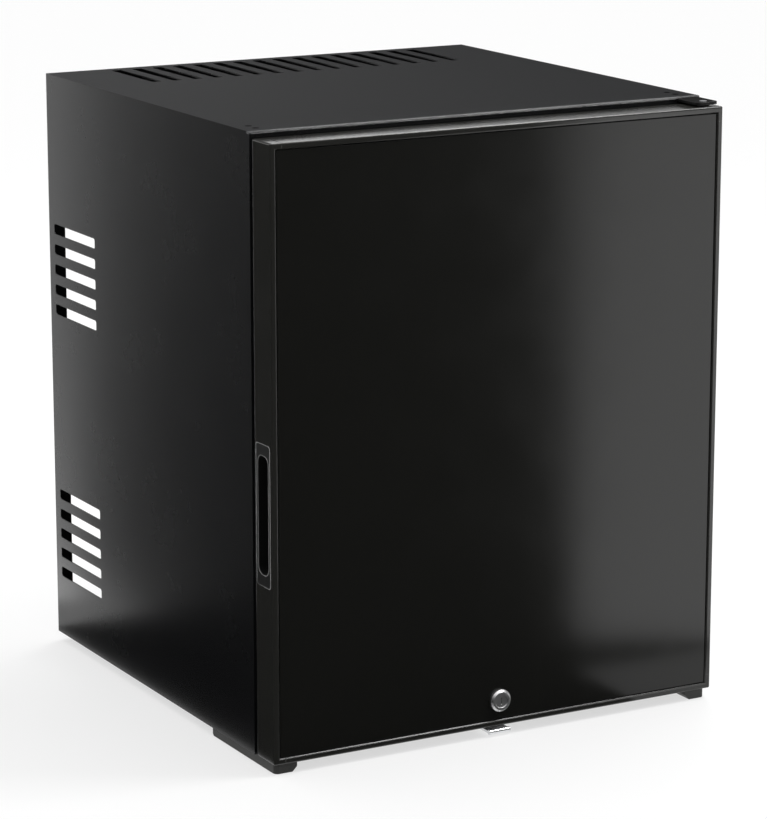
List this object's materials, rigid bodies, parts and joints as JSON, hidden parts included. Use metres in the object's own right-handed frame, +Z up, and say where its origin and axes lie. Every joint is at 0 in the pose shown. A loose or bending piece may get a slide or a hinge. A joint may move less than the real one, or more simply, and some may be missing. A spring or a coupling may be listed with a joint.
{
  "type": "minibar fridge",
  "caption": "Small black hotel minibar: foamed steel cabinet with an absorption cooling unit in an open rear bay, and a lockable panelled door hinged on the right.",
  "frame": {"origin": "on the floor, under the middle of the outer box", "axes": "+X to the right seen from the front, -Y towards the person at the door, +Z up"},
  "size_m": [0.402, 0.412, 0.4935],
  "materials": {
    "cabinet_paint": "satin black powder coat",
    "base_steel": "black painted sheet",
    "foam": "rigid foam",
    "liner_plastic": "light grey moulded plastic",
    "wire_coating": "white coated wire",
    "bare_aluminium": "bare extrusion",
    "drain_plastic": "soft tube",
    "lens_plastic": "milky diffuser",
    "board": "circuit board",
    "knob_plastic": "moulded",
    "hinge_steel": "black",
    "pin_steel": "ground",
    "screw_black": "blackened",
    "foot_plastic": "moulded",
    "foot_rubber": "moulded",
    "zinc_plate": "bright zinc",
    "unit_paint": "black baked paint",
    "canister_steel": "galvanised",
    "mineral_wool": "packed wool",
    "heater_steel": "sheath",
    "fin_aluminium": "thin fins",
    "box_plastic": "moulded",
    "door_frame_plastic": "satin black moulding",
    "door_panel_black": "satin black sheet",
    "seal_rubber": "soft seal",
    "magnet": "bonded magnet",
    "handle_plastic": "moulded",
    "bush_plastic": "turned nylon",
    "lock_chrome": "polished",
    "rack_plastic": "clear grey moulding"
  },
  "bodies": {
    "cabinet": {"left_side_panel": "cabinet_paint", "right_side_panel": "cabinet_paint", "top_panel": "cabinet_paint", "front_frame": "cabinet_paint", "hinge_blank": "cabinet_paint", "base_panel": "base_steel", "rear_bulkhead": "base_steel", "rear_brace": "base_steel", "unit_brackets": "base_steel", "cabinet_foam": "foam", "inner_liner": "liner_plastic", "drip_trough": "liner_plastic", "control_housing": "liner_plastic", "cooling_plate": "bare_aluminium", "drain_tube": "drain_plastic", "lamp_lens": "lens_plastic", "lamp_board": "board", "reed_switch": "board", "top_hinge_plate": "hinge_steel", "top_hinge_pin": "pin_steel", "bottom_hinge_pin": "pin_steel", "body_screws": "screw_black", "left_front_foot": "foot_plastic", "right_front_foot": "foot_plastic", "rear_feet": "foot_rubber", "lock_keeper": "zinc_plate", "absorber_vessel": "unit_paint", "gas_exchanger": "unit_paint", "absorber_coil": "unit_paint", "liquid_line": "unit_paint", "boiler_tube": "unit_paint", "condenser_tube": "unit_paint", "boiler_casing": "canister_steel", "boiler_wool": "mineral_wool", "heater_cartridge": "heater_steel", "condenser_fins": "fin_aluminium", "control_box": "box_plastic", "cord_gland": "box_plastic"},
    "door": {"door_top_rail": "door_frame_plastic", "door_bottom_rail": "door_frame_plastic", "door_left_stile": "door_frame_plastic", "door_right_stile": "door_frame_plastic", "door_front_panel": "door_panel_black", "door_foam": "foam", "door_liner": "liner_plastic", "door_gasket": "seal_rubber", "gasket_magnets": "magnet", "handle_cup": "handle_plastic", "hinge_bushes": "bush_plastic", "switch_magnet": "magnet", "lock_barrel": "lock_chrome", "lock_nut": "lock_chrome", "lock_box": "box_plastic"},
    "lock": {"lock_plug": "lock_chrome", "lock_cam": "lock_chrome"},
    "lower_rack": {"lower_rack": "rack_plastic"},
    "upper_rack": {"upper_rack": "rack_plastic"},
    "lower_shelf": {"lower_shelf": "wire_coating"},
    "upper_shelf": {"upper_shelf": "wire_coating"},
    "knob": {"thermostat_knob": "knob_plastic"}
  },
  "joints": [
    {"name": "door_swing", "type": "hinge", "parent": "cabinet", "child": "door", "pos_m": [0.19, -0.19095, 0.25], "axis": [0, 0, 1], "range_deg": [0, 120]},
    {"name": "lock_turn", "type": "hinge", "parent": "door", "child": "lock", "pos_m": [0, -0.2, 0.0296], "axis": [0, 1, 0], "range_deg": [0, 90]},
    {"name": "thermostat_turn", "type": "hinge", "parent": "cabinet", "child": "knob", "pos_m": [0.032, -0.08155, 0.43], "axis": [0, 0, -1], "range_deg": [0, 270]},
    {"name": "lower_rack_lift", "type": "slide", "parent": "door", "child": "lower_rack", "axis": [0, 0, 1], "range_m": [0, 0.03]},
    {"name": "upper_rack_lift", "type": "slide", "parent": "door", "child": "upper_rack", "axis": [0, 0, 1], "range_m": [0, 0.03]},
    {"name": "lower_shelf_slide", "type": "slide", "parent": "cabinet", "child": "lower_shelf", "axis": [0, -1, 0], "range_m": [0, 0.022]},
    {"name": "upper_shelf_slide", "type": "slide", "parent": "cabinet", "child": "upper_shelf", "axis": [0, -1, 0], "range_m": [0, 0.022]}
  ]
}
